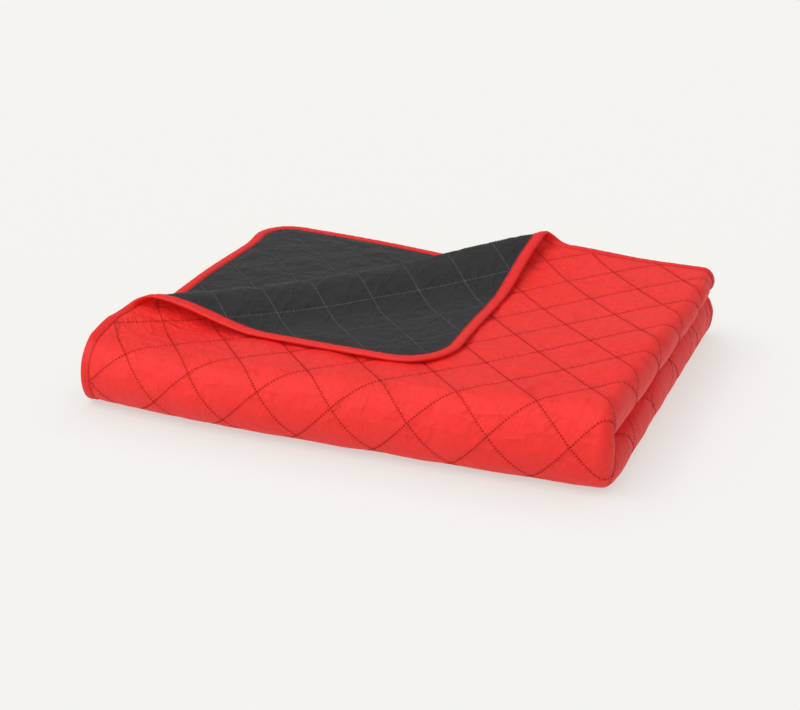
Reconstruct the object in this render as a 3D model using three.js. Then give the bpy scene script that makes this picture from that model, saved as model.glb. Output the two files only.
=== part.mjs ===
// Quilted bedspread, folded in quarters with its free top corner turned over.
// Millimetres, +Z up.  The cloth is described flat by u (its length) and v (its width);
// foldedPoint() lays that flat cloth into the folded pack, which lies with its length on X.
import * as THREE from 'three';

// ---- driving dimensions -------------------------------------------------------------
const clothLength = 1700;      // u, the long way of the opened bedspread
const clothWidth = 1300;       // v, the short way
const cornerRadius = 90;       // the four corners of the cloth are rounded
const bindingWidth = 17;       // bound edge, measured in from the edge
const bindingWall = 1.2;       // the folded tape
const seamGap = 1.0;          // air between neighbouring pieces of cloth
const cellsLong = 28;          // half diamonds of quilting along u
const cellsWide = 22;          // half diamonds of quilting along v
const cellLong = 59;           // their pitch: the panels are cut from quilted cloth, so the
const cellWide = 57;           // last row at one end of each run is a little longer
const firstRow = 12;           // the first row along v is longer by this
const seamWall = 1.2;          // cloth and wadding under a quilting seam, each side
const clothsApart = 0.6;       // between the two cloths, at the middle of the quilt
const facePuff = 3.2;          // rise of a diamond on the face side
const reversePuff = 2.5;       // rise of a diamond on the reverse side

// side fold: the cloth is doubled over this line, the outer half stays the shorter one
const sideFoldAt = 837;       // u of the fold
const sideFoldRadius = 17.6;    // how far the two ridges stand out
// front fold: the doubled cloth is doubled again, over the front
const frontFoldBack = 10.3;     // y where the front roll begins
const rollReachOuter = 42.5;    // how far the outer layer rolls forward
const rollReachInner = 12;
const rollFullness = 0.8;      // under 1 fills out the lower half of the roll
const frontFoldSkew = 47.7;     // the front fold runs off square by this, at the left end
const innerFrontInset = 12;    // the inner half, at its left end near the front
const innerBackInset = 78;     // the same for its lower layer near the back
const innerReach = 1.052;       // and how far it is drawn out to the left at the back
const innerFoldBack = 62;       // the inner half's fold lies further back at its left end
const frontFoldBow = -12.4;       // the front fold bows off straight, in the cloth
const rollBow = 17.4;           // the roll bows forward in the middle
const rollBowLeft = 16;        // and lies forward at its left end
const rollDrawnIn = 6;         // its left end is drawn in by this at mid height
const bottomReach = 67;        // the bottom reaches further back beside the side fold
// the side fold wanders: how far right it lies along its run, at the back of the
// bottom, the front of the bottom, the front of the top and the back of the top
const sideDrift = { bottomBack: -29.3, bottomFront: 11.3, topFront: 4.4, topBack: -2.6, lastBit: -10.8 };
// heights of the middle of each layer: at the left end and at the side fold
const layerHeights = {
  bottom: { left: 4.5, side: 4.5, edge: 3.85 },
  lowerInner: { left: 18.5, side: 55, sideBackRise: 14.3 },
  upperInner: { left: 41, side: 70, sideBackRise: 31.7, leftBackRise: 12, midBackRise: 12 },
  rollTop: { left: 96.4, side: 126.7 },
  topNearRoll: { left: 79.8, side: 135.4 },
  topAtBack: { side: 139.4 },
};
const topSag = 5.8;            // the top hangs through by this between its two ends
// the turned corner
const turnLineX = 250, turnLineY = 286.8;  // a point of the line it turns over
const turnLineAngle = 43.37;              // degrees from X
const turnRadius = { left: 22.2, middle: 21.1, right: 17 };
const turnRest = 10.5;         // corner's height above the layer it lies on
const turnSlope = 147;        // run of cloth over which it comes down
const turnLeftEnd = -330, turnRightEnd = 400;
const turnRise = { left: 18, right: 6 }; // the layer rises to the turning line by this
const turnRiseRun = { left: 70, right: 110 };
const turnRiseBeyond = { left: 60, right: 80 }; // and it dies out past the line within this
const turnLetOut = 0.10;                 // the corner is pulled out by this share
// mesh
const flatError = 1.0;         // how far a facet may stand off the cloth: gentle places
const curveError = 2.7;        // and where it rolls
const deepest = 5;             // halvings of a cell at most

// ---- small helpers ------------------------------------------------------------------
const clamp = (t, a, b) => Math.min(b, Math.max(a, t));
const ease = (t) => { const s = clamp(t, 0, 1); return s * s * (3 - 2 * s); };
const mix = (a, b, t) => a + (b - a) * t;
const toRad = Math.PI / 180;
const ridgeX = sideFoldAt - Math.PI * sideFoldRadius / 2;

// heights of the four layers over a point of the floor
function layersAt(x, y) {
  const across = clamp(x / ridgeX, 0, 1);
  const side = ease((across - 0.35) / 0.65);
  const H = layerHeights;
  const sag = 4 * topSag * across * (1 - across);
  const roll = mix(H.rollTop.left, H.rollTop.side, across) - sag;
  const near = mix(H.topNearRoll.left, H.topNearRoll.side, across) - sag;
  const back = ease((y - frontFoldBack) / 250);
  const far = ease((y - 300) / 350) * ease((across - 0.25) / 0.35);
  const behind = ease(y / 550) * side;
  const leftBack = ease((y - 200) / 300) * (1 - across);
  return {
    bottom: H.bottom.left,
    lowerInner: mix(H.lowerInner.left, H.lowerInner.side, side) + H.lowerInner.sideBackRise * behind,
    upperInner: mix(H.upperInner.left, H.upperInner.side, side) + H.upperInner.sideBackRise * behind
      + H.upperInner.leftBackRise * leftBack
      + H.upperInner.midBackRise * 4 * across * (1 - across) * ease((y - 200) / 300),
    top: roll + (near - roll) * back + (H.topAtBack.side - near) * far,
  };
}

// how far right of its straight line the side fold lies, v across the cloth
function driftAt(v) {
  const w = v / clothWidth, D = sideDrift;
  let d = mix(D.bottomBack, D.bottomFront, w / 0.42);
  if (w > 0.42) d = mix(D.bottomFront, D.topFront, ease((w - 0.42) / 0.2));
  if (w > 0.62) d = mix(D.topFront, D.topBack, (w - 0.62) / 0.38);
  return d + D.lastBit * ease((w - 0.88) / 0.12);
}

// where a point of the flat cloth lies in the folded pack (middle of the quilt)
function foldedPoint(u, v) {
  const ridgeEnd = ridgeX + Math.PI * sideFoldRadius;
  const drift = driftAt(v);
  u -= drift;
  const turn = clamp((u - ridgeX) / sideFoldRadius, 0, Math.PI);
  const outer = Math.cos(turn);                 // 1 outer half, -1 inner half
  let x = u;
  if (u > ridgeEnd) x = ridgeX - (u - ridgeEnd);
  else if (u > ridgeX) x = ridgeX + sideFoldRadius * Math.sin(turn);
  const across = clamp(x, 0, ridgeX) / ridgeX;
  const F = layersAt(clamp(x, 0, ridgeX), frontFoldBack);
  const low = mix(F.lowerInner, F.bottom, (1 + outer) / 2);
  const high = mix(F.upperInner, F.top, (1 + outer) / 2);
  const rise = (high - low) / 2;
  const reach = mix(rollReachInner, rollReachOuter, (1 + outer) / 2);
  const arcOuter = ((F.top - F.bottom) / 2 + rollReachOuter) / 2;
  const arcInner = ((F.upperInner - F.lowerInner) / 2 + rollReachInner) / 2;
  const slip = outer < 0 ? 1 - across : 0;
  const arc = mix(arcOuter, arcInner, slip);
  const fold = clothWidth / 2 - frontFoldSkew * (1 - across)
    - frontFoldBow * 4 * across * (1 - across) - innerFoldBack * slip * (2 - slip);
  const rollStart = fold - Math.PI * arc / 2;
  const rollEnd = fold + Math.PI * arc / 2;
  const angle = clamp((v - rollStart) / arc, 0, Math.PI);
  const full = angle < Math.PI / 2 ? mix(1, rollFullness, (1 + outer) / 2) : 1;
  let y = frontFoldBack - reach * Math.sin(angle) ** full;
  if (v < rollStart) y = frontFoldBack + (rollStart - v);
  if (v > rollEnd) y = frontFoldBack + (v - rollEnd);
  if (u > ridgeEnd) {
    const freeEnd = 2 * sideFoldAt - clothLength;
    const narrow = (ridgeX - innerFrontInset) / (ridgeX - freeEnd);
    const narrowBelow = (ridgeX - innerBackInset) / (ridgeX - freeEnd);
    const drawn = v < rollStart ? mix(narrow, narrowBelow, ease((y - 100) / 300))
      : mix(narrow, 1, ease((y - 60) / 270)) * mix(1, innerReach, ease((y - 60) / 270));
    x = ridgeX - (u - ridgeEnd) * drawn;
  }
  x += drift + rollDrawnIn * Math.sin(angle) * ease(1 - across / 0.3) * Math.max(outer, 0);
  const bow = rollBow * 4 * across * (1 - across)
    + rollBowLeft * Math.cos(Math.PI / 2 * clamp(across / 0.6, 0, 1));
  y -= bow * (1 - ease((y - 100) / 300));
  if (v < rollStart) y += bottomReach * across * across * ease((y - 100) / 450);
  const L = layersAt(clamp(x, 0, ridgeX), y);
  const edgeDrop = (layerHeights.bottom.left - layerHeights.bottom.edge)
    * (1 - Math.min(ease((u + drift) / 70), ease(v / 70)));
  let z = (low + high) / 2 - rise * Math.cos(angle);
  if (v < rollStart) z = mix(L.lowerInner, L.bottom - edgeDrop, (1 + outer) / 2);
  if (v > rollEnd) z = mix(L.upperInner, L.top, (1 + outer) / 2);
  if (angle > 0 && outer > 0.999) {
    const c = Math.cos(turnLineAngle * toRad), s = Math.sin(turnLineAngle * toRad);
    const past = -(x - turnLineX) * s + (y - turnLineY) * c;   // over the turning line
    const along = (x - turnLineX) * c + (y - turnLineY) * s;
    const f = clamp((along - turnLeftEnd) / (turnRightEnd - turnLeftEnd), 0, 1);
    const run = mix(turnRiseRun.left, turnRiseRun.right, f);
    const bulge = mix(turnRise.left, turnRise.right, f) * ease(angle / Math.PI * 2 - 1)
      * ease(1 - (past > 0 ? past / mix(turnRiseBeyond.left, turnRiseBeyond.right, f) : -past / run));
    z += bulge;
    if (v > rollEnd && past > 0) {
      const R = turnRadius;
      const radius = f < 0.5 ? mix(R.left, R.middle, ease(f * 2))
        : mix(R.middle, R.right, ease(f * 2 - 1));
      const over = Math.max(past - Math.PI * radius, 0) * (1 + turnLetOut * 4 * f * (1 - f));
      const roundIt = clamp(past / radius, 0, Math.PI);
      const back = radius * Math.sin(roundIt) - over - past;
      x -= s * back;
      y += c * back;
      const lift = past < Math.PI * radius ? radius * (1 - Math.cos(roundIt))
        : turnRest + (2 * radius - turnRest) * (1 - ease(over / turnSlope));
      z = layersAt(clamp(x, 0, ridgeX), Math.max(y, frontFoldBack)).top + lift + bulge;
    }
  }
  return new THREE.Vector3(x, y, z);
}

// rounds the corners of the flat cloth: a square corner is drawn in to a quarter circle
function roundedFlat(u, v) {
  const R = cornerRadius;
  const cu = clamp(u, R, clothLength - R), cv = clamp(v, R, clothWidth - R);
  const du = u - cu, dv = v - cv;
  if (du === 0 || dv === 0) return [u, v];
  const k = Math.max(Math.abs(du), Math.abs(dv)) / Math.hypot(du, dv);
  return [cu + du * k, cv + dv * k];
}
const middle = (u, v) => foldedPoint(...roundedFlat(u, v));

// outward direction of the face side
function faceNormal(u, v) {
  const [a, b] = roundedFlat(u, v), h = 0.4;
  const du = foldedPoint(a + h, b).sub(foldedPoint(a - h, b));
  const dv = foldedPoint(a, b + h).sub(foldedPoint(a, b - h));
  return du.cross(dv).normalize();
}

// seam numbers and flat places, either way; the end rows are stretched to the binding
const lastLong = clothLength - 2 * bindingWidth - (cellsLong - 1) * cellLong;
const firstWide = firstRow + cellWide;
const seamU = (i) => bindingWidth + Math.min(i, cellsLong - 1) * cellLong
  + Math.max(i - cellsLong + 1, 0) * lastLong;
const seamV = (j) => bindingWidth + Math.min(j, 1) * firstWide + Math.max(j - 1, 0) * cellWide;
const seamI = (u) => {
  const i = (u - bindingWidth) / cellLong;
  return i > cellsLong - 1 ? cellsLong - 1 + (i - cellsLong + 1) * cellLong / lastLong : i;
};
const seamJ = (v) => {
  const t = v - bindingWidth;
  return t < firstWide ? t / firstWide : 1 + (t - firstWide) / cellWide;
};

// rise of the quilting: 0 on the seams and under the binding, 1 in mid diamond
function diamond(u, v) {
  const i = seamI(u), j = seamJ(v);
  const a = Math.abs(Math.sin(Math.PI * (i + j) / 2));
  const b = Math.abs(Math.sin(Math.PI * (i - j) / 2));
  const in_ = Math.min(u, v, clothLength - u, clothWidth - v) - bindingWidth;
  return Math.sqrt(clamp(a * b, 0, 1)) * ease(in_ / 25);
}

// how much of the underside is pressed flat on the floor
function pressed(u, v) {
  u -= driftAt(v);
  const across = clamp(u / ridgeX, 0, 1);
  const F = layersAt(clamp(u, 0, ridgeX), frontFoldBack);
  const arc = ((F.top - F.bottom) / 2 + rollReachOuter) / 2;
  const rollStart = clothWidth / 2 - frontFoldSkew * (1 - across)
    - frontFoldBow * 4 * across * (1 - across) - Math.PI * arc / 2;
  const inside = Math.min(u + driftAt(v), v) - bindingWidth - 10;
  return v < rollStart + 2 && u < ridgeX + 2 && inside > 0 ? 1 : 0;
}

// ---- one triangulation of the flat cloth, split along the quilting seams -----------
function clothMesh() {
  const points = [], index = new Map(), halves = new Map();
  const place = (i, j) => {
    const key = `${i},${j}`;
    if (!index.has(key)) {
      index.set(key, points.length);
      const u = seamU(i), v = seamV(j);
      points.push({ i, j, u, v, at: middle(u, v) });
    }
    return index.get(key);
  };
  const edge = (a, b) => (a < b ? a * 1e6 + b : b * 1e6 + a);
  let tris = [];
  for (let i = 0; i < cellsLong; i++) {
    for (let j = 0; j < cellsWide; j++) {
      const a = place(i, j), b = place(i + 1, j), c = place(i + 1, j + 1), d = place(i, j + 1);
      if ((i + j) % 2 === 0) tris.push([c, a, b, 0], [a, c, d, 0]);
      else tris.push([b, d, a, 0], [d, b, c, 0]);
    }
  }
  const between = (a, b) => {
    const key = edge(a, b);
    if (!halves.has(key)) {
      const p = points[a], q = points[b];
      halves.set(key, place((p.i + q.i) / 2, (p.j + q.j) / 2));
    }
    return halves.get(key);
  };
  const bend = (a, b) => {
    const p = points[a], q = points[b];
    const real = middle((p.u + q.u) / 2, (p.v + q.v) / 2);
    return real.distanceTo(p.at.clone().add(q.at).multiplyScalar(0.5));
  };
  const coarse = ([a, b, c, level]) => level < deepest
    && Math.max(bend(a, b), bend(b, c), bend(c, a)) > (level === 0 ? flatError : curveError);
  let changed = true;
  while (changed) {
    changed = false;
    const next = [];
    for (const t of tris) {
      const [a, b, c, level] = t;
      const hanging = halves.has(edge(a, b)) || halves.has(edge(b, c)) || halves.has(edge(c, a));
      if (hanging || coarse(t)) {
        const m = between(a, b);
        next.push([c, a, m, level + 1], [b, c, m, level + 1]);
        changed = true;
      } else next.push(t);
    }
    tris = next;
  }
  return { points, tris };
}

// closed loop of stations round the edge of the quilting, with the corners as fans
function edgeStations(points, tris) {
  const next = new Map(), seen = new Set();
  for (const [a, b, c] of tris) for (const [p, q] of [[a, b], [b, c], [c, a]]) seen.add(`${p},${q}`);
  for (const [a, b, c] of tris) {
    for (const [p, q] of [[a, b], [b, c], [c, a]]) if (!seen.has(`${q},${p}`)) next.set(p, q);
  }
  const loop = [];
  let at = next.keys().next().value;
  for (let n = 0; n < next.size; n++) { loop.push(at); at = next.get(at); }
  const stations = [];
  for (const k of loop) {
    const p = points[k];
    const su = p.i === 0 ? -1 : p.i === cellsLong ? 1 : 0;
    const sv = p.j === 0 ? -1 : p.j === cellsWide ? 1 : 0;
    if (su && sv) {
      const first = su * sv > 0 ? [su, 0] : [0, sv];
      const last = su * sv > 0 ? [0, sv] : [su, 0];
      for (const [du, dv] of [first, [su, sv], last]) stations.push({ k, u: p.u, v: p.v, du, dv });
    } else stations.push({ k, u: p.u, v: p.v, du: su, dv: sv });
  }
  return stations;
}
const stationAt = (s, d) => [s.u + s.du * (bindingWidth - d), s.v + s.dv * (bindingWidth - d)];

// ---- solids ------------------------------------------------------------------------
class Solid {
  constructor() { this.xyz = []; this.faces = []; this.known = new Map(); }
  vertex(p) {
    const key = `${p.x.toFixed(3)},${p.y.toFixed(3)},${p.z.toFixed(3)}`;
    if (!this.known.has(key)) { this.known.set(key, this.xyz.length); this.xyz.push(p); }
    return this.known.get(key);
  }
  face(a, b, c) { if (a !== b && b !== c && c !== a) this.faces.push([a, b, c]); }
  mesh(name, material, shift) {
    let volume = 0;
    for (const [a, b, c] of this.faces) {
      volume += this.xyz[a].dot(this.xyz[b].clone().cross(this.xyz[c])) / 6;
    }
    const g = new THREE.BufferGeometry();
    const flat = [];
    for (const [a, b, c] of this.faces) {
      for (const k of volume > 0 ? [a, b, c] : [a, c, b]) {
        const p = this.xyz[k];
        flat.push(p.x + shift.x, p.y + shift.y, p.z + shift.z);
      }
    }
    g.setAttribute('position', new THREE.Float32BufferAttribute(flat, 3));
    g.computeVertexNormals();
    const m = new THREE.Mesh(g, material);
    m.name = name;
    return m;
  }
}
const offset = (u, v, h) => middle(u, v).add(faceNormal(u, v).multiplyScalar(h));

// a cloth of the quilt: side 1 is the face, -1 the reverse
function panel(cloth, stations, side, puff) {
  const s = new Solid();
  const near = clothsApart / 2, rim = bindingWall + seamGap;
  const outerPoint = (u, v) => {
    const p = offset(u, v, side * (near + seamWall + puff * diamond(u, v)));
    if (side > 0 && pressed(u, v)) p.z = 0;
    p.z = Math.max(p.z, 0);
    return s.vertex(p);
  };
  const innerPoint = (u, v) => s.vertex(offset(u, v, side * near));
  const P = cloth.points;
  for (const [a, b, c] of cloth.tris) {
    const [x, y, z] = [a, b, c].map((k) => outerPoint(P[k].u, P[k].v));
    s.face(x, y, z);
  }
  for (const [a, b, c] of cloth.tris) {
    const [x, y, z] = [a, b, c].map((k) => innerPoint(P[k].u, P[k].v));
    s.face(z, y, x);
  }
  for (let n = 0; n < stations.length; n++) {
    const p = stations[n], q = stations[(n + 1) % stations.length];
    const [pe, qe] = [stationAt(p, rim), stationAt(q, rim)];
    const A = outerPoint(p.u, p.v), B = outerPoint(q.u, q.v);
    const C = outerPoint(...qe), D = outerPoint(...pe);
    const a = innerPoint(p.u, p.v), b = innerPoint(q.u, q.v);
    const c = innerPoint(...qe), d = innerPoint(...pe);
    s.face(D, C, B); s.face(D, B, A);
    s.face(b, c, d); s.face(a, b, d);
    s.face(d, c, C); s.face(d, C, D);
  }
  return s;
}

// the bound edge: a folded tape of U section round the rim of both cloths
function binding(stations) {
  const s = new Solid();
  const h0 = clothsApart / 2 + seamWall + seamGap, h1 = h0 + bindingWall;
  const section = [
    [bindingWidth, h1], [0.9, h1], [-0.2, 0], [0.9, -h1], [bindingWidth, -h1],
    [bindingWidth, -h0], [bindingWall, -h0], [bindingWall, h0], [bindingWidth, h0],
  ];
  const ring = stations.map((t) => section.map(([d, h]) => {
    const p = offset(...stationAt(t, d), h);
    return s.vertex(p);
  }));
  for (let n = 0; n < ring.length; n++) {
    const p = ring[n], q = ring[(n + 1) % ring.length];
    for (let k = 0; k < section.length; k++) {
      const m = (k + 1) % section.length;
      // the same diagonal as the cloths beneath, so the gap stays even
      if (section[k][0] > section[m][0]) { s.face(p[k], q[k], p[m]); s.face(q[k], q[m], p[m]); }
      else { s.face(p[k], q[k], q[m]); s.face(p[k], q[m], p[m]); }
    }
  }
  return s;
}

// ---- the part ----------------------------------------------------------------------
const cloth = clothMesh();
const stations = edgeStations(cloth.points, cloth.tris);
const solids = [
  ['face_panel', panel(cloth, stations, 1, facePuff), 0xd81f1c],
  ['reverse_panel', panel(cloth, stations, -1, reversePuff), 0x2b2b30],
  ['binding', binding(stations), 0xc81a18],
];
const box = new THREE.Box3();
for (const [, solid] of solids) for (const p of solid.xyz) box.expandByPoint(p);
const shift = new THREE.Vector3(-(box.min.x + box.max.x) / 2, -(box.min.y + box.max.y) / 2, 0);

const bedspread = new THREE.Group();
bedspread.name = 'quilted_bedspread';
for (const [name, solid, colour] of solids) {
  bedspread.add(solid.mesh(name, new THREE.MeshStandardMaterial({ color: colour, roughness: 0.7 }), shift));
}
export default bedspread;
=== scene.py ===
import math
import bpy
import numpy as np
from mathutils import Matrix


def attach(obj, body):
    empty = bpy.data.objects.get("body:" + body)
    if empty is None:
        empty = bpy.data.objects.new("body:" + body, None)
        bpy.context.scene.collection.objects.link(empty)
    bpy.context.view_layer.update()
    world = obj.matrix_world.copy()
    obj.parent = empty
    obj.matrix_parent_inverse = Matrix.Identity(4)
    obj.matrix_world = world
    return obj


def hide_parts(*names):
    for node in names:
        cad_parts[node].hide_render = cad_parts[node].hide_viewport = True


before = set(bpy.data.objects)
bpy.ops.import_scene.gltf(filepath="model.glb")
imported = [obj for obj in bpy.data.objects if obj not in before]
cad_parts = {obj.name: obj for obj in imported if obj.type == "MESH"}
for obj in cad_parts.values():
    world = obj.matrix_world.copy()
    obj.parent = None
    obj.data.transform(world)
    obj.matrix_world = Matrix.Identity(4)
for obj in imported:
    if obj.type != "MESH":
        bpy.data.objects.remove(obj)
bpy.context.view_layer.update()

# The face cloth is red microfibre, cut to 1.70 by 1.30 m with rounded corners.  It is
# welded through the wadding along the seams of its diamonds, so it stands up between
# them and puckers where it is caught, and the bedspread is then folded in quarters.
cloth_length = 1.700
cloth_width = 1.300
corner_radius = 0.090
binding_width = 0.017
cells_long = 28
cells_wide = 22
cell_long = 0.059
cell_wide = 0.057
first_row_extra = 0.012
last_long = cloth_length - 2 * binding_width - (cells_long - 1) * cell_long
first_wide = cell_wide + first_row_extra
diamond_side = math.hypot(cell_long, cell_wide)


def ease(t):
    t = np.clip(t, 0.0, 1.0)
    return t * t * (3.0 - 2.0 * t)


def mix(a, b, t):
    return a + (b - a) * t


# u runs along the cloth and v across it, in metres from the corner that ends up
# lowest.  The seams run slanting through a grid of half diamonds inside the binding.
def seam_u(i):
    even, beyond = np.minimum(i, cells_long - 1), np.maximum(i - cells_long + 1, 0)
    return binding_width + even * cell_long + beyond * last_long


def seam_v(j):
    return binding_width + np.minimum(j, 1) * first_wide + np.maximum(j - 1, 0) * cell_wide


def seam_numbers(u, v):
    """lattice numbers of a flat place; the end rows are a little longer"""
    i = (u - binding_width) / cell_long
    i = np.where(i > cells_long - 1, cells_long - 1 + (i - cells_long + 1) * cell_long / last_long, i)
    t = v - binding_width
    return i, np.where(t < first_wide, t / first_wide, 1 + (t - first_wide) / cell_wide)


def rounded_flat(u, v):
    """draws each square corner of the flat cloth in to a quarter circle"""
    cu = np.clip(u, corner_radius, cloth_length - corner_radius)
    cv = np.clip(v, corner_radius, cloth_width - corner_radius)
    du, dv = u - cu, v - cv
    reach = np.hypot(du, dv)
    k = np.where(reach > 0, np.maximum(abs(du), abs(dv)) / np.where(reach > 0, reach, 1), 1)
    return cu + du * k, cv + dv * k


# The folding: doubled over the side fold on the right, then doubled again over the
# front, which makes one big roll.  The layers' heights are those of the middle of
# the quilt, at the left end and at the side fold.
side_fold_at = 0.837
side_fold_radius = 0.0176
ridge_x = side_fold_at - math.pi * side_fold_radius / 2
ridge_end = ridge_x + math.pi * side_fold_radius
front_fold_back = 0.0103
roll_reach_outer = 0.0425
roll_reach_inner = 0.012
roll_fullness = 0.8
front_fold_skew = 0.0477
inner_front_inset = 0.012
inner_back_inset = 0.078
inner_reach = 1.052
inner_fold_back = 0.062
front_fold_bow = -0.0124
roll_bow = 0.0174
roll_bow_left = 0.016
roll_drawn_in = 0.006
bottom_reach = 0.067
side_drift = (-0.0293, 0.0113, 0.0044, -0.0026, -0.0108)
bottom_height = 0.0045
bottom_edge_height = 0.00385
lower_inner = (0.0185, 0.055)
upper_inner = (0.041, 0.070)
lower_back_rise = 0.0143
upper_back_rise = 0.0317
left_back_rise = 0.012
mid_back_rise = 0.012
roll_top = (0.0964, 0.1267)
top_near_roll = (0.0798, 0.1354)
top_at_back = 0.1394
top_sag = 0.0058
turn_line_at = (0.250, 0.2868)
turn_line_angle = math.radians(43.37)
turn_radius = (0.0222, 0.0211, 0.0170)
turn_rest = 0.0105
turn_slope = 0.147
turn_ends = (-0.330, 0.400)
turn_rise = (0.018, 0.006)
turn_rise_run = (0.070, 0.110)
turn_rise_beyond = (0.060, 0.080)
turn_let_out = 0.10
pack_centre = (0.3793, 0.3404)

# where each change of height or width begins, and the stretch it takes: shares of
# the pack's width or of the cloth's, or metres behind the front fold
side_part = (0.35, 0.65)
top_right_part = (0.25, 0.35)
roll_to_top = (front_fold_back, 0.250)
top_back_part = (0.300, 0.350)
behind_part = (0, 0.550)
inner_back_part = (0.200, 0.300)
front_drift_part = (0.42, 0.2)
upper_drift_part = (0.62, 0.38)
last_drift_part = (0.88, 0.12)
inner_widens = (0.06, 0.27)
lower_widens = (0.1, 0.3)
bow_fades = (0.100, 0.300)
bottom_reach_part = (0.100, 0.450)
drawn_in_share = 0.3
left_bow_share = 0.6
edge_drop_run = 0.07


def comes_in(t, part):
    start, stretch = part
    return ease((t - start) / stretch)


def layers_at(x, y):
    """heights of the four layers' middles, lowest first, at a place of the pack"""
    across = np.clip(x / ridge_x, 0, 1)
    side = comes_in(across, side_part)
    sag = 4 * top_sag * across * (1 - across)
    roll = mix(*roll_top, across) - sag
    near = mix(*top_near_roll, across) - sag
    back = comes_in(y, roll_to_top)
    far = comes_in(y, top_back_part) * comes_in(across, top_right_part)
    top = roll + (near - roll) * back + (top_at_back - near) * far
    behind = comes_in(y, behind_part) * side
    inner_back = comes_in(y, inner_back_part)
    low_in = mix(*lower_inner, side) + lower_back_rise * behind
    high_in = mix(*upper_inner, side) + upper_back_rise * behind
    high_in = high_in + left_back_rise * (inner_back * (1 - across))
    high_in = high_in + mid_back_rise * 4 * across * (1 - across) * inner_back
    return bottom_height, low_in, high_in, top


def drift_at(v):
    """how far right of its straight line the side fold lies"""
    w = v / cloth_width
    upper_start, upper_stretch = upper_drift_part
    at_front, at_upper, at_end, last_turn = side_drift[1:]
    d = mix(side_drift[0], at_front, w / front_drift_part[0])
    d = np.where(w > front_drift_part[0], mix(at_front, at_upper, comes_in(w, front_drift_part)), d)
    d = np.where(w > upper_start, mix(at_upper, at_end, (w - upper_start) / upper_stretch), d)
    return d + last_turn * comes_in(w, last_drift_part)


def folded(u, v):
    """where points of the flat cloth lie in the pack, before it is centred"""
    drift = drift_at(v)
    u = u - drift
    turn = np.clip((u - ridge_x) / side_fold_radius, 0, math.pi)
    outer = np.cos(turn)
    half = (1 + outer) / 2
    outer_half = outer > 0.999
    x = np.where(u > ridge_end, ridge_x - (u - ridge_end),
                 np.where(u > ridge_x, ridge_x + side_fold_radius * np.sin(turn), u))
    x_in = np.clip(x, 0, ridge_x)
    across = x_in / ridge_x
    bottom, low_in, high_in, top = layers_at(x_in, front_fold_back)
    low, high = mix(low_in, bottom, half), mix(high_in, top, half)
    rise = (high - low) / 2
    reach = mix(roll_reach_inner, roll_reach_outer, half)
    arc_outer = ((top - bottom) / 2 + roll_reach_outer) / 2
    arc_inner = ((high_in - low_in) / 2 + roll_reach_inner) / 2
    slip = np.where(outer < 0, 1 - across, 0)
    arc = mix(arc_outer, arc_inner, slip)
    fold = cloth_width / 2 - front_fold_skew * (1 - across) - inner_fold_back * slip * (2 - slip)
    fold = fold - front_fold_bow * 4 * across * (1 - across)
    start, end = fold - math.pi * arc / 2, fold + math.pi * arc / 2
    angle = np.clip((v - start) / arc, 0, math.pi)
    full = np.where(angle < math.pi / 2, mix(1, roll_fullness, half), 1)
    y = front_fold_back - reach * np.abs(np.sin(angle)) ** full
    y = np.where(v < start, front_fold_back + start - v, y)
    y = np.where(v > end, front_fold_back + v - end, y)
    free_end = 2 * side_fold_at - cloth_length
    narrow = (ridge_x - inner_front_inset) / (ridge_x - free_end)
    widening = comes_in(y, inner_widens)
    drawn = mix(narrow, 1, widening) * mix(1, inner_reach, widening)
    narrow_below = (ridge_x - inner_back_inset) / (ridge_x - free_end)
    drawn = np.where(v < start, mix(narrow, narrow_below, comes_in(y, lower_widens)), drawn)
    x = np.where(u > ridge_end, ridge_x - (u - ridge_end) * drawn, x)
    x = x + drift + roll_drawn_in * np.sin(angle) * ease(1 - across / drawn_in_share) * np.maximum(outer, 0)
    bow = roll_bow * 4 * across * (1 - across)
    bow = bow + roll_bow_left * np.cos(math.pi / 2 * np.clip(across / left_bow_share, 0, 1))
    y = y - bow * (1 - comes_in(y, bow_fades))
    y = np.where(v < start, y + bottom_reach * across**2 * comes_in(y, bottom_reach_part), y)
    bottom, low_in, high_in, top = layers_at(np.clip(x, 0, ridge_x), y)
    from_edge = np.minimum(ease((u + drift) / edge_drop_run), ease(v / edge_drop_run))
    edge_drop = (bottom_height - bottom_edge_height) * (1 - from_edge)
    z = (low + high) / 2 - rise * np.cos(angle)
    z = np.where(v < start, mix(low_in, bottom - edge_drop, half), z)
    z = np.where(v > end, mix(high_in, top, half), z)
    # the free top corner, turned over its slanting line
    c, s = math.cos(turn_line_angle), math.sin(turn_line_angle)
    past = -(x - turn_line_at[0]) * s + (y - turn_line_at[1]) * c
    along = (x - turn_line_at[0]) * c + (y - turn_line_at[1]) * s
    f = np.clip((along - turn_ends[0]) / (turn_ends[1] - turn_ends[0]), 0, 1)
    radius = np.where(f < 0.5, mix(turn_radius[0], turn_radius[1], ease(f * 2)),
                      mix(turn_radius[1], turn_radius[2], ease(f * 2 - 1)))
    over = np.maximum(past - math.pi * radius, 0) * (1 + turn_let_out * 4 * f * (1 - f))
    round_it = np.clip(past / radius, 0, math.pi)
    back = radius * np.sin(round_it) - over - past
    away = np.where(past > 0, past / mix(*turn_rise_beyond, f), -past / mix(*turn_rise_run, f))
    bulge = mix(*turn_rise, f) * ease(angle / math.pi * 2 - 1) * ease(1 - away) * outer_half
    z = z + bulge
    turned = (v > end) & outer_half & (past > 0)
    x = np.where(turned, x - s * back, x)
    y = np.where(turned, y + c * back, y)
    lift = np.where(past < math.pi * radius, radius * (1 - np.cos(round_it)),
                    turn_rest + (2 * radius - turn_rest) * (1 - ease(over / turn_slope)))
    under = layers_at(np.clip(x, 0, ridge_x), np.maximum(y, front_fold_back))[3]
    z = np.where(turned, under + lift + bulge, z)
    return np.stack([x, y, z], axis=-1)


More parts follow.
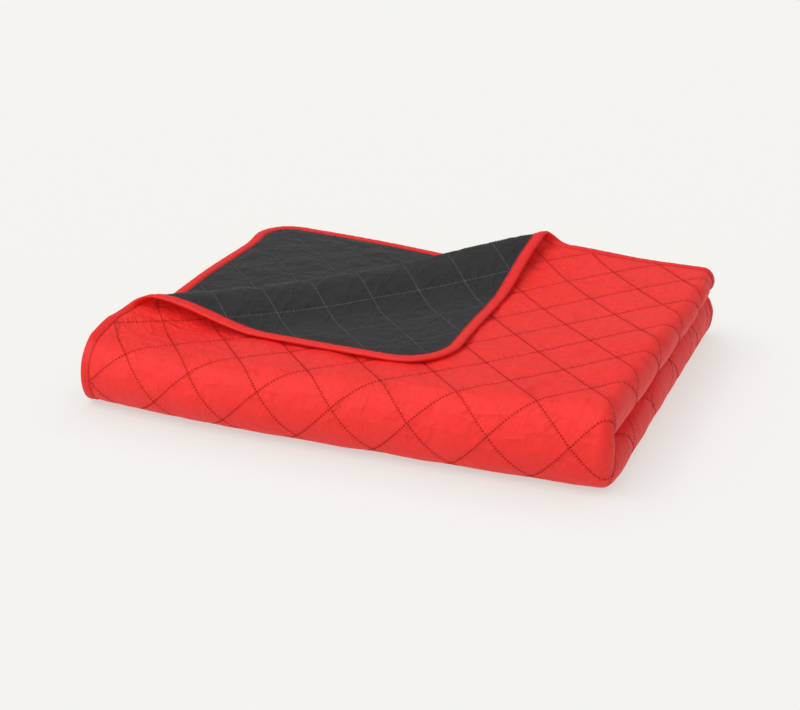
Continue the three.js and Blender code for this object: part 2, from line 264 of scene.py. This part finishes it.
def lie(u, v, height):
    """points of the folded cloth, height above (face side) or below its middle"""
    u, v = np.broadcast_arrays(np.asarray(u, float), np.asarray(v, float))
    a, b = rounded_flat(u, v)
    near = 4e-4
    du = folded(a + near, b) - folded(a - near, b)
    dv = folded(a, b + near) - folded(a, b - near)
    out = np.cross(du, dv)
    out /= np.linalg.norm(out, axis=-1, keepdims=True) + 1e-15
    place = folded(a, b) + out * np.asarray(height)[..., None]
    place = place - np.array([*pack_centre, 0.0])
    return place, out


# the quilting's relief, in metres: the middle of a diamond stands highest, short
# gathers run out from the seams, and the weight of the pack flattens what is below
face_seam_height = 0.0016
face_rise = 0.0034
face_pucker = 0.0011
dome_fullness = 0.5
dome_unevenness = 0.18
gather_pitch = 0.0105
gather_reach = 0.012
slack_pitch = (0.034, 0.060)
slack_share = 0.9
crease_share = 0.8
seam_grip = 0.0022
binding_ramp = 0.022
pressed_share = 0.6
pressed_lift = 0.0005
floor_gap = 0.0003


def bumps(x, y, seed):
    """smooth random hills, -1 to 1, one apart"""
    table = np.random.RandomState(seed).uniform(-1, 1, (128, 128))
    i, j = np.floor(x).astype(int), np.floor(y).astype(int)
    fx, fy = ease(x - i), ease(y - j)
    pick = lambda a, b: table[a % 128, b % 128]
    return mix(mix(pick(i, j), pick(i + 1, j), fx), mix(pick(i, j + 1), pick(i + 1, j + 1), fx), fy)


def quilting(u, v, rise, pucker, seed):
    """height of a quilted cloth over its seams"""
    i, j = seam_numbers(u, v)
    a, b = (i + j) / 2, (i - j) / 2
    da = abs(a - np.round(a)) * diamond_side
    db = abs(b - np.round(b)) * diamond_side
    inside = np.minimum(np.minimum(u, v), np.minimum(cloth_length - u, cloth_width - v))
    full = comes_in(inside, (binding_width, binding_ramp))
    dome = (np.sin(math.pi * da / diamond_side) * np.sin(math.pi * db / diamond_side)) ** dome_fullness
    dome = dome * (1 + dome_unevenness * bumps(a * 1.7, b * 1.7, seed))
    gather = 0
    for off, own, other, draw in ((da, a, b, seed + 1), (db, b, a, seed + 2)):
        folds = bumps(other * diamond_side / gather_pitch, np.round(own) * 3.7 + off / 0.05, draw)
        gather = gather + np.exp(-off / gather_reach) * folds
    gather = pucker * full * gather
    slack = pucker * slack_share * bumps(u / slack_pitch[0], v / slack_pitch[1], seed + 3) * full
    crease = 1 - 2 * abs(bumps(u / 0.045 + v / 0.15, v / 0.07 - u / 0.12, seed + 4))
    crease = pucker * crease_share * np.maximum(crease, 0) ** 3 * full * dome
    hold = 1 - np.exp(-np.minimum(da, db) / seam_grip)
    return rise * dome * full + (gather + slack * dome + crease) * (0.25 + 0.75 * hold)


def on_cloth(u, v, side, height, lift=0.0):
    """places on one side of the quilt, pressed flatter where that side faces down"""
    _, out = lie(u, v, 0.0)
    underneath = comes_in(-side * out[..., 2], (-0.15, 0.7))
    height = height * (1 - pressed_share * underneath) + pressed_lift * underneath
    place, out = lie(u, v, side * (height + lift))
    if side > 0:
        place[..., 2] = np.maximum(place[..., 2], floor_gap)
    return place, out


def cloth_sheet(name, side, height_of):
    """a fine sheet on one side of the folded quilt, split along the seams, with its flat place as UV"""
    per_cell = 12
    rim = [0.0012, 0.0062, 0.0115]
    us = seam_u(np.arange(cells_long * per_cell + 1) / per_cell)
    vs = seam_v(np.arange(cells_wide * per_cell + 1) / per_cell)
    us = np.concatenate([rim, us, cloth_length - np.array(rim[::-1])])
    vs = np.concatenate([rim, vs, cloth_width - np.array(rim[::-1])])
    u, v = np.meshgrid(us, vs, indexing="ij")
    place, _ = on_cloth(u, v, side, height_of(u, v))
    n, m = u.shape
    at = np.arange(n * m).reshape(n, m)
    quads = []
    for k in range(n - 1):
        for l in range(m - 1):
            a, b, c, d = at[k, l], at[k + 1, l], at[k + 1, l + 1], at[k, l + 1]
            i, j = k - len(rim), l - len(rim)
            if (i + j + 1) % (2 * per_cell) == 0:
                pieces = [(a, b, d), (b, c, d)]
            elif (i - j) % (2 * per_cell) == 0:
                pieces = [(a, b, c), (a, c, d)]
            else:
                pieces = [(a, b, c, d)]
            quads += pieces if side > 0 else [p[::-1] for p in pieces]
    mesh = bpy.data.meshes.new(name)
    mesh.from_pydata(place.reshape(-1, 3).tolist(), [], [tuple(int(k) for k in q) for q in quads])
    corner = np.empty(len(mesh.loops), dtype=np.int32)
    mesh.loops.foreach_get("vertex_index", corner)
    i, j = seam_numbers(u, v)
    maps = {"flat": (u, v), "seams": ((i + j) / 2, (i - j) / 2)}
    for map_name, (across, along) in maps.items():
        layer = mesh.uv_layers.new(name=map_name)
        flat = np.stack([across.ravel(), along.ravel()], axis=-1)
        layer.data.foreach_set("uv", flat[corner].astype(np.float32).ravel())
    mesh.polygons.foreach_set("use_smooth", np.ones(len(mesh.polygons), dtype=bool))
    piece = bpy.data.objects.new(name, mesh)
    bpy.context.collection.objects.link(piece)
    return piece


# wrinkles laid one by one: from, to, half width and height (a trough where negative),
# in millimetres of the flat cloth
face_wrinkles = (
    # under the turned corner, at the left end
    (20, 765, 50, 750, 5, -3.5), (30, 725, 30, 765, 5, 2.9), (40, 760, 80, 765, 6, -3.2),
    (60, 790, 80, 765, 5, 2.6),
    # down the front
    (335, 650, 365, 680, 5, -2.1), (415, 640, 400, 600, 5, -1.6), (445, 655, 465, 695, 6, -1.9),
    (558, 655, 555, 610, 5, -1.9), (575, 700, 592, 635, 6, -2.4), (280, 705, 318, 675, 6, -1.9),
    (220, 665, 247, 640, 6, -1.8), (640, 670, 648, 635, 5, -1.6), (490, 695, 480, 745, 7, -1.9),
    # on top, beside the turned corner and round its peak
    (722, 780, 722, 715, 9, -3.8), (730, 870, 755, 925, 9, -3.5), (725, 755, 740, 830, 8, -3.2),
    (560, 1185, 515, 1210, 9, -4.0), (535, 1130, 560, 1190, 7, -3.2), (525, 1070, 530, 1145, 7, 2.4),
    (560, 1262, 600, 1250, 6, -2.4), (645, 1155, 672, 1195, 6, -1.9), (690, 1155, 725, 1190, 6, 1.9),
    # over the side fold
    (805, 980, 835, 965, 5, -2.4), (810, 885, 838, 897, 5, -2.4), (800, 1080, 826, 1055, 5, -2.4),
    (815, 742, 842, 728, 5, -2.2), (840, 845, 853, 800, 6, 2.1),
)


def laid_wrinkles(u, v, wrinkles):
    total = np.zeros(np.broadcast(u, v).shape)
    for u0, v0, u1, v1, wide, high in wrinkles:
        du, dv = (u1 - u0) / 1000, (v1 - v0) / 1000
        length = math.hypot(du, dv)
        along = ((u - u0 / 1000) * du + (v - v0 / 1000) * dv) / length**2
        off = ((u - u0 / 1000) * dv - (v - v0 / 1000) * du) / length * 1000 / wide
        bend = 0.6 * np.sin(3.1 * along + u0)
        taper = ease(along / 0.3) * ease((1 - along) / 0.4)
        total = total + high / 1000 * taper * np.exp(-(off - bend) ** 2)
    i, j = seam_numbers(u, v)
    near = np.minimum(abs((i + j) / 2 - np.round((i + j) / 2)), abs((i - j) / 2 - np.round((i - j) / 2)))
    return total * ease(near / 0.12)


def face_height(u, v):
    height = face_seam_height + quilting(u, v, face_rise, face_pucker, 11)
    return height + laid_wrinkles(u, v, face_wrinkles)


face = cloth_sheet("face_cloth", 1, face_height)


# Microfibre is a very fine, close weave with a soft bloom.  The weave, the small
# crumples between the seams and the faint unevenness of the dye are one effect.
def microfibre_effect():
    group = bpy.data.node_groups.new("microfibre weave", "ShaderNodeTree")
    named = group.interface.new_socket
    named("Flat", in_out="INPUT", socket_type="NodeSocketVector")
    named("Seams", in_out="INPUT", socket_type="NodeSocketVector")
    named("Gathers", in_out="INPUT", socket_type="NodeSocketFloat").default_value = 1.0
    named("Creases", in_out="INPUT", socket_type="NodeSocketFloat").default_value = 1.0
    named("Thread Pitch", in_out="INPUT", socket_type="NodeSocketFloat").default_value = 0.0007
    named("Colour", in_out="INPUT", socket_type="NodeSocketColor")
    named("Shade", in_out="INPUT", socket_type="NodeSocketColor")
    named("Colour", in_out="OUTPUT", socket_type="NodeSocketColor")
    named("Height", in_out="OUTPUT", socket_type="NodeSocketFloat")
    named("Roughness", in_out="OUTPUT", socket_type="NodeSocketFloat")
    nodes, join = group.nodes, group.links.new
    given, gives = nodes.new("NodeGroupInput"), nodes.new("NodeGroupOutput")

    def sum_of(kind, first, second):
        n = nodes.new("ShaderNodeMath")
        n.operation = kind
        for socket, value in zip(n.inputs, (first, second)):
            if isinstance(value, (int, float)):
                socket.default_value = value
            else:
                join(value, socket)
        return n.outputs[0]

    apart = nodes.new("ShaderNodeSeparateXYZ")
    join(given.outputs["Flat"], apart.inputs[0])
    turns = sum_of("DIVIDE", 2 * math.pi, given.outputs["Thread Pitch"])
    warp = sum_of("SINE", sum_of("MULTIPLY", apart.outputs[0], turns), 0)
    weft = sum_of("SINE", sum_of("MULTIPLY", apart.outputs[1], turns), 0)
    weave = sum_of("MULTIPLY", warp, weft)

    def field(scale, detail, stretch, source="Flat"):
        shift = nodes.new("ShaderNodeVectorMath")
        shift.operation = "MULTIPLY"
        join(given.outputs[source], shift.inputs[0])
        shift.inputs[1].default_value = stretch
        n = nodes.new("ShaderNodeTexNoise")
        join(shift.outputs[0], n.inputs["Vector"])
        n.inputs["Scale"].default_value = scale
        n.inputs["Detail"].default_value = detail
        return n.outputs["Fac"]

    crumple = field(34.0, 3.0, (1.0, 0.6, 1.0))
    small = field(190.0, 3.0, (0.7, 1.0, 1.0))
    bloom = field(9.0, 3.0, (1.0, 1.0, 1.0))

    def weighted(*parts):
        total = sum_of("MULTIPLY", *parts[0])
        for part in parts[1:]:
            total = sum_of("ADD", total, sum_of("MULTIPLY", *part))
        return total

    def ridged(noise):
        """thin raised lines where the noise passes its middle"""
        off = sum_of("ABSOLUTE", sum_of("SUBTRACT", noise, 0.5), 0)
        line = sum_of("MAXIMUM", sum_of("SUBTRACT", 1, sum_of("MULTIPLY", off, 6)), 0)
        return sum_of("POWER", line, 2.0)

    # short gathers that run out from the seams, square to them
    seams = nodes.new("ShaderNodeSeparateXYZ")
    join(given.outputs["Seams"], seams.inputs[0])
    gathers = 0.0
    for axis, stretch in ((0, (2.0, 13.0, 1.0)), (1, (13.0, 2.0, 1.0))):
        near = sum_of("PINGPONG", seams.outputs[axis], 0.5)
        near = sum_of("EXPONENT", sum_of("MULTIPLY", near, -9.0), 0)
        lines = field(1.0, 2.5, stretch, "Seams")
        gathers = sum_of("ADD", gathers, sum_of("MULTIPLY", lines, near))
    gathers = sum_of("MULTIPLY", gathers, given.outputs["Gathers"])
    long_creases = ridged(field(9.0, 2.0, (1.0, 2.6, 1.0)))
    short_creases = ridged(field(17.0, 2.0, (1.5, 0.8, 1.0)))
    creases = weighted((long_creases, 1.0), (short_creases, 0.6))
    creases = sum_of("MULTIPLY", creases, given.outputs["Creases"])
    height = weighted((crumple, 0.9), (small, 0.10), (weave, 0.010), (gathers, 2.0), (creases, 0.3))
    join(height, gives.inputs["Height"])
    tint = nodes.new("ShaderNodeMix")
    tint.data_type = "RGBA"
    join(weighted((bloom, 0.7), (small, 0.3)), tint.inputs[0])
    join(given.outputs["Shade"], tint.inputs[6])
    join(given.outputs["Colour"], tint.inputs[7])
    join(tint.outputs[2], gives.inputs["Colour"])
    join(sum_of("ADD", sum_of("MULTIPLY", small, 0.16), 0.47), gives.inputs["Roughness"])
    return group


weave_effect = microfibre_effect()


def microfibre(name, colour, shade, sheen, crumple_depth, gathers, creases):
    """a microfibre finish; shade is the dye where it took less light"""
    cloth = bpy.data.materials.new(name)
    cloth.use_nodes = True
    nodes, join = cloth.node_tree.nodes, cloth.node_tree.links.new
    surface = nodes["Principled BSDF"]
    flat = nodes.new("ShaderNodeUVMap")
    flat.uv_map = "flat"
    weave = nodes.new("ShaderNodeGroup")
    weave.node_tree = weave_effect
    join(flat.outputs[0], weave.inputs["Flat"])
    if gathers > 0:
        seams = nodes.new("ShaderNodeUVMap")
        seams.uv_map = "seams"
        join(seams.outputs[0], weave.inputs["Seams"])
    weave.inputs["Gathers"].default_value = gathers
    weave.inputs["Creases"].default_value = creases
    weave.inputs["Colour"].default_value = (*colour, 1)
    weave.inputs["Shade"].default_value = (*shade, 1)
    relief = nodes.new("ShaderNodeBump")
    relief.inputs["Strength"].default_value = 1.0
    relief.inputs["Distance"].default_value = crumple_depth
    join(weave.outputs["Height"], relief.inputs["Height"])
    join(relief.outputs["Normal"], surface.inputs["Normal"])
    join(weave.outputs["Colour"], surface.inputs["Base Color"])
    join(weave.outputs["Roughness"], surface.inputs["Roughness"])
    surface.inputs["Sheen Weight"].default_value = sheen
    surface.inputs["Sheen Roughness"].default_value = 0.4
    surface.inputs["Sheen Tint"].default_value = (*[0.5 + 0.5 * c for c in colour], 1)
    surface.inputs["Specular IOR Level"].default_value = 0.28
    return cloth


red_cloth = microfibre("red microfibre", (0.95, 0.033, 0.028), (0.88, 0.025, 0.021), sheen=0.03,
                       crumple_depth=0.0050, gathers=0.55, creases=1.0)
face.data.materials.append(red_cloth)
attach(face, "root")
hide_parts("face_panel")

# The reverse cloth: the same microfibre in charcoal, caught in the same welds,
# a little flatter, since the wadding is laid on its side.
reverse_seam_height = 0.0015
reverse_rise = 0.0028
reverse_pucker = 0.0012
reverse_wrinkles = (
    (100, 1080, 160, 1140, 6, 1.5), (50, 1175, 100, 1235, 6, -1.4), (1630, 1050, 1570, 1135, 8, 1.4),
    (130, 1010, 190, 1060, 7, -1.5), (265, 1175, 320, 1235, 7, -1.4), (35, 935, 60, 985, 6, 1.4),
    (1490, 1175, 1405, 1262, 9, 1.5), (262, 1225, 320, 1270, 6, 1.2), (1645, 1195, 1540, 1220, 8, -1.3),
    (355, 1190, 420, 1250, 7, 1.2), (95, 962, 75, 1020, 6, -1.2), (135, 1215, 200, 1245, 6, -1.2),
)


def reverse_height(u, v):
    height = reverse_seam_height + quilting(u, v, reverse_rise, reverse_pucker, 47)
    return height + laid_wrinkles(u, v, reverse_wrinkles)


reverse = cloth_sheet("reverse_cloth", -1, reverse_height)
charcoal_cloth = microfibre("charcoal microfibre", (0.022, 0.0205, 0.0225), (0.014, 0.0135, 0.015),
                            sheen=0.10, crumple_depth=0.0030, gathers=0.5, creases=1.5)
reverse.data.materials.append(charcoal_cloth)
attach(reverse, "root")
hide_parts("reverse_panel")

# The quilting is not sewn: a row of small dots is welded through the layers, about
# every 5 mm.  Each dot is a shallow dished disc that lies in the trough of its seam.
dot_pitch = 0.0050
dot_radius = 0.0016
dot_lift = 0.00025
dish_bottom_share = 0.45
dish_depth_share = 0.30


def line_object(name, points, edges):
    mesh = bpy.data.meshes.new(name)
    mesh.from_pydata(points, edges, [])
    piece = bpy.data.objects.new(name, mesh)
    bpy.context.collection.objects.link(piece)
    return piece


def seam_lines(name, side, height_of):
    """fine lines along every seam, on the cloth, with its outward direction"""
    points, edges, outs = [], [], []
    step = 1 / 10
    slack = 1e-6
    for a in range(cells_long + cells_wide + 1):
        for leaning_left in (True, False):
            i = np.arange(0, cells_long + step / 2, step)
            j = 2 * a - i if leaning_left else i - (2 * a - cells_wide - cells_wide % 2)
            keep = (j >= -slack) & (j <= cells_wide + slack)
            if keep.sum() < 4:
                continue
            u, v = seam_u(i[keep]), seam_v(j[keep])
            place, out = on_cloth(u, v, side, height_of(u, v), dot_lift)
            first = len(points)
            points += place.tolist()
            outs += (side * out).tolist()
            edges += [(first + n, first + n + 1) for n in range(len(place) - 1)]
    piece = line_object(name, points, edges)
    piece.data.attributes.new("outward", "FLOAT_VECTOR", "POINT").data.foreach_set(
        "vector", np.array(outs, dtype=np.float32).ravel())
    return piece


def row_tree(name, sizes, make_one, make_way):
    """a tree that sets one small piece at an even pitch along a line, its own Z along the way"""
    tree = bpy.data.node_groups.new(name, "GeometryNodeTree")
    named = tree.interface.new_socket
    named("Line", in_out="INPUT", socket_type="NodeSocketGeometry")
    inputs = [named(size, in_out="INPUT", socket_type="NodeSocketFloat") for size in sizes]
    inputs.append(named("Finish", in_out="INPUT", socket_type="NodeSocketMaterial"))
    named("Row", in_out="OUTPUT", socket_type="NodeSocketGeometry")
    nodes, join = tree.nodes, tree.links.new
    given, gives = nodes.new("NodeGroupInput"), nodes.new("NodeGroupOutput")
    line = nodes.new("GeometryNodeMeshToCurve")
    join(given.outputs["Line"], line.inputs["Mesh"])
    even = nodes.new("GeometryNodeResampleCurve")
    even.mode = "LENGTH"
    join(line.outputs["Curve"], even.inputs["Curve"])
    join(given.outputs["Pitch"], even.inputs["Length"])
    stand = nodes.new("FunctionNodeAlignRotationToVector")
    stand.axis = "Z"
    join(make_way(nodes), stand.inputs["Vector"])
    put = nodes.new("GeometryNodeInstanceOnPoints")
    join(even.outputs["Curve"], put.inputs["Points"])
    join(make_one(nodes, join, given), put.inputs["Instance"])
    join(stand.outputs["Rotation"], put.inputs["Rotation"])
    real = nodes.new("GeometryNodeRealizeInstances")
    join(put.outputs["Instances"], real.inputs[0])
    paint = nodes.new("GeometryNodeSetMaterial")
    join(real.outputs[0], paint.inputs["Geometry"])
    join(given.outputs["Finish"], paint.inputs["Material"])
    join(paint.outputs[0], gives.inputs[0])
    return tree, [socket.identifier for socket in inputs]


def one_dish(nodes, join, given):
    """one dot: a six-sided dish, its rim highest"""
    def share_of_radius(share):
        part = nodes.new("ShaderNodeMath")
        part.operation = "MULTIPLY"
        part.inputs[1].default_value = share
        join(given.outputs["Radius"], part.inputs[0])
        return part.outputs[0]

    bottom = share_of_radius(dish_bottom_share)
    wall = nodes.new("GeometryNodeMeshCone")
    wall.fill_type = "NONE"
    wall.inputs["Vertices"].default_value = 6
    wall.inputs["Side Segments"].default_value = 1
    join(given.outputs["Radius"], wall.inputs["Radius Top"])
    join(bottom, wall.inputs["Radius Bottom"])
    join(share_of_radius(dish_depth_share), wall.inputs["Depth"])
    middle = nodes.new("GeometryNodeMeshCircle")
    middle.fill_type = "TRIANGLE_FAN"
    middle.inputs["Vertices"].default_value = 6
    join(bottom, middle.inputs["Radius"])
    flip = nodes.new("GeometryNodeFlipFaces")
    join(wall.outputs["Mesh"], flip.inputs["Mesh"])
    both = nodes.new("GeometryNodeJoinGeometry")
    join(flip.outputs["Mesh"], both.inputs[0])
    join(middle.outputs["Mesh"], both.inputs[0])
    return both.outputs[0]


def outward_way(nodes):
    way = nodes.new("GeometryNodeInputNamedAttribute")
    way.data_type = "FLOAT_VECTOR"
    way.inputs["Name"].default_value = "outward"
    return way.outputs["Attribute"]


dots_tree, dots_sockets = row_tree("welded dots", ("Pitch", "Radius"), one_dish, outward_way)


def made_plain(piece, tree, sockets, values, name):
    """runs the tree on the piece and keeps the result as a plain mesh"""
    maker = piece.modifiers.new("maker", "NODES")
    maker.node_group = tree
    for socket, value in zip(sockets, values):
        maker[socket] = value
    bpy.context.view_layer.update()
    seen = piece.evaluated_get(bpy.context.evaluated_depsgraph_get())
    mesh = bpy.data.meshes.new_from_object(seen)
    bpy.data.objects.remove(piece)
    mesh.name = name
    result = bpy.data.objects.new(name, mesh)
    bpy.context.collection.objects.link(result)
    return result


def melted(name, colour, roughness):
    """a small smooth finish, as of fibres melted to a film or of a twisted thread"""
    film = bpy.data.materials.new(name)
    film.use_nodes = True
    nodes, join = film.node_tree.nodes, film.node_tree.links.new
    surface = nodes["Principled BSDF"]
    where = nodes.new("ShaderNodeTexCoord")
    speck = nodes.new("ShaderNodeTexNoise")
    speck.inputs["Scale"].default_value = 260.0
    join(where.outputs["Object"], speck.inputs["Vector"])
    tone = nodes.new("ShaderNodeMix")
    tone.data_type = "RGBA"
    tone.inputs[6].default_value = (*[0.6 * c for c in colour], 1)
    tone.inputs[7].default_value = (*[min(1, 1.4 * c) for c in colour], 1)
    join(speck.outputs["Fac"], tone.inputs[0])
    join(tone.outputs[2], surface.inputs["Base Color"])
    surface.inputs["Roughness"].default_value = roughness
    surface.inputs["Specular IOR Level"].default_value = 0.2
    return film


dot_rows = (
    # name, side, height rule, finish, material slot
    # the red weld's darker red is painted shade, as of the small pit of each dot
    ("face_welds", 1, face_height, melted("red weld with painted pit shade", (0.48, 0.010, 0.008), 0.6), "face_cloth"),
    # the grey weld's pale grey is a painted highlight, as of light caught by the glossy charcoal welds
    ("reverse_welds", -1, reverse_height, melted("grey weld with painted highlight", (0.105, 0.102, 0.110), 0.5), "reverse_cloth"),
)
for name, side, height_of, finish, slot in dot_rows:
    dots = made_plain(seam_lines(name + "_lines", side, height_of), dots_tree, dots_sockets,
                      (dot_pitch, dot_radius, finish), name)
    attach(dots, "root")

# The bound edge: a red tape folded over the rim of both cloths and sewn through,
# 17 mm wide each side.  It ripples a little between the stitches.
tape_width = 0.0173
tape_step = 0.0030
tape_ripple = 0.0010
ripple_pitch = 0.0062
hem_wander = 0.0006
wander_pitch = 0.05
section_step = 0.0024
corner_run = 0.06
tape_section = (
    # in from the edge, height over the middle of the quilt
    (1.02, 0.0013), (0.98, 0.0021), (0.86, 0.0022), (0.66, 0.0031), (0.42, 0.0034), (0.20, 0.0030),
    (0.05, 0.0020), (-0.02, 0.0), (0.05, -0.0020), (0.20, -0.0029), (0.42, -0.0033), (0.66, -0.0030),
    (0.86, -0.0021), (0.98, -0.0020), (1.02, -0.0012),
)


def round_the_edge(step):
    """stations round the cloth: a point of the edge and the way in from it"""
    stations = []
    sides = ((0, 0, 1, 0, cloth_length), (cloth_length, 0, 0, 1, cloth_width),
             (cloth_length, cloth_width, -1, 0, cloth_length), (0, cloth_width, 0, -1, cloth_width))
    run = 0.0
    for u0, v0, du, dv, length in sides:
        n = round(length / step)
        for t in np.arange(n) / n * length:
            lean = max(0.0, 1 - t / corner_run) - max(0.0, 1 - (length - t) / corner_run)
            stations.append((u0 + du * t, v0 + dv * t, lean * du - dv, lean * dv + du, run + t))
        run += length
    return np.array(stations)


def tape_points(stations, depth, height):
    u = stations[:, 0] + stations[:, 2] * depth
    v = stations[:, 1] + stations[:, 3] * depth
    return lie(u, v, height)


edge = round_the_edge(tape_step)
rows = []
run, still = edge[:, 4], edge[:, 4] * 0
for share, height in tape_section:
    body = max(0.0, 1 - abs(share - 0.5) / 0.55)
    ripple = tape_ripple * body * bumps(run / ripple_pitch, still + (1 if height > 0 else 5), 71)
    wander = hem_wander * bumps(run / wander_pitch, still + (2 if height > 0 else 7), 73) * (share > 0.9)
    place, _ = tape_points(edge, share * tape_width + wander, height + np.sign(height) * ripple)
    place[:, 2] = np.maximum(place[:, 2], floor_gap)
    rows.append(place)
rows = np.stack(rows, axis=1)
n, m = rows.shape[:2]
quads = [((a, b), (a, b + 1), (a + 1, b + 1), (a + 1, b)) for a in range(n) for b in range(m - 1)]
tape_mesh = bpy.data.meshes.new("binding_tape")
faces = [tuple(i % n * m + j for i, j in quad) for quad in quads]
tape_mesh.from_pydata(rows.reshape(-1, 3).tolist(), [], faces)
layer = tape_mesh.uv_layers.new(name="flat")
for polygon, quad in zip(tape_mesh.polygons, quads):
    polygon.use_smooth = True
    for loop, (i, j) in zip(polygon.loop_indices, quad):
        layer.data[loop].uv = (i * tape_step, j * section_step)
binding = bpy.data.objects.new("binding_tape", tape_mesh)
bpy.context.collection.objects.link(binding)
red_tape = microfibre("red binding", (0.88, 0.026, 0.023), (0.74, 0.017, 0.015), sheen=0.03,
                      crumple_depth=0.0022, gathers=0.0, creases=0.0)
tape_mesh.materials.append(red_tape)
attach(binding, "root")
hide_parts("binding")

# The stitching of the tape: one row of short stitches near its inner edge, on
# each side, which pull the tape down to the cloth.
stitch_pitch = 0.0040
stitch_length = 0.0026
stitch_radius = 0.00045
stitch_row_share = 0.885
stitch_height = 0.00235
stitch_line_step = 0.004


def stitch_line(name, side):
    stations = round_the_edge(stitch_line_step)
    place, _ = tape_points(stations, stitch_row_share * tape_width, side * stitch_height)
    count = len(place)
    return line_object(name, place.tolist(), [(a, (a + 1) % count) for a in range(count)])


def one_stitch(nodes, join, given):
    thread = nodes.new("GeometryNodeMeshCylinder")
    thread.inputs["Vertices"].default_value = 5
    join(given.outputs["Length"], thread.inputs["Depth"])
    join(given.outputs["Radius"], thread.inputs["Radius"])
    return thread.outputs["Mesh"]


def way_along(nodes):
    return nodes.new("GeometryNodeInputTangent").outputs[0]


stitches_tree, stitches_sockets = row_tree("stitches", ("Pitch", "Length", "Radius"), one_stitch, way_along)
thread_finish = melted("red thread", (0.30, 0.006, 0.006), 0.6)
for name, side in (("binding_stitches_face", 1), ("binding_stitches_reverse", -1)):
    row = made_plain(stitch_line(name + "_line", side), stitches_tree, stitches_sockets,
                     (stitch_pitch, stitch_length, stitch_radius, thread_finish), name)
    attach(row, "root")

# The room: a pale floor, soft even light from the upper left in front, and an
# even pale surround.  The floor has some light of its own, as a lit backdrop has,
# so that it stays pale and even, and that light is dimmed close to the cloth: a painted shadow.
floor_half = 40
floor_drop = 0.0004
painted_shadow_reach = 0.12
own_light_least = 0.487
painted_shadow_depth = 0.20
floor_mesh = bpy.data.meshes.new("floor")
floor_corners = [(-floor_half, -floor_half, 0), (floor_half, -floor_half, 0),
                 (floor_half, floor_half, 0), (-floor_half, floor_half, 0)]
floor_mesh.from_pydata(floor_corners, [], [(0, 1, 2, 3)])
floor = bpy.data.objects.new("floor", floor_mesh)
bpy.context.collection.objects.link(floor)
floor.location.z = -floor_drop
paper = bpy.data.materials.new("pale floor")
paper.use_nodes = True
nodes, join = paper.node_tree.nodes, paper.node_tree.links.new
surface = nodes["Principled BSDF"]
surface.inputs["Base Color"].default_value = (0.22, 0.218, 0.210, 1)
surface.inputs["Emission Color"].default_value = (1.0, 0.990, 0.954, 1)
surface.inputs["Roughness"].default_value = 0.9
surface.inputs["Specular IOR Level"].default_value = 0.1
# painted shadow: the floor's own light is dimmed where the cloth is near
painted_shadow_ao = nodes.new("ShaderNodeAmbientOcclusion")
painted_shadow_ao.inputs["Distance"].default_value = painted_shadow_reach
floor_glow_with_painted_shadow = nodes.new("ShaderNodeMath")
floor_glow_with_painted_shadow.operation = "MULTIPLY_ADD"
floor_glow_with_painted_shadow.inputs[1].default_value = painted_shadow_depth
floor_glow_with_painted_shadow.inputs[2].default_value = own_light_least
join(painted_shadow_ao.outputs["AO"], floor_glow_with_painted_shadow.inputs[0])
join(floor_glow_with_painted_shadow.outputs[0], surface.inputs["Emission Strength"])
floor_mesh.materials.append(paper)

surround = bpy.data.worlds.new("surround")
surround.use_nodes = True
surround.node_tree.nodes["Background"].inputs["Color"].default_value = (1, 1, 1, 1)
surround.node_tree.nodes["Background"].inputs["Strength"].default_value = 0.45
bpy.context.scene.world = surround


def soft_sun(name, way_down, strength, spread, casts):
    lamp = bpy.data.lights.new(name, "SUN")
    lamp.energy = strength
    lamp.angle = math.radians(spread)
    lamp.use_shadow = casts
    holder = bpy.data.objects.new(name, lamp)
    bpy.context.collection.objects.link(holder)
    x, y, z = way_down
    holder.rotation_euler = (math.atan2(math.hypot(x, y), -z), 0, math.atan2(x, -y) + math.pi)
    return holder


soft_sun("key light", (0.55, 0.75, -1.4), 1.05, 45, True)
soft_sun("even fill", (0.55, 0.75, -1.3), 1.0, 60, False)

# The camera looks down on the pack from its left front, as in the photograph.
eye_place = (1.4976 - pack_centre[0], -2.1783 - pack_centre[1], 1.0963)
eye_tilt = math.radians(21.60)
eye_turn = math.radians(24.27)
focal_pixels = 1818.6
photo_pixels_wide = 800
sensor_width = 36
camera = bpy.data.cameras.new("camera")
camera.sensor_width = sensor_width
camera.lens = focal_pixels / photo_pixels_wide * sensor_width
viewer = bpy.data.objects.new("camera", camera)
bpy.context.collection.objects.link(viewer)
viewer.location = eye_place
viewer.rotation_euler = (math.pi / 2 - eye_tilt, 0, eye_turn)
bpy.context.scene.camera = viewer
bpy.context.scene.view_settings.view_transform = "Standard"
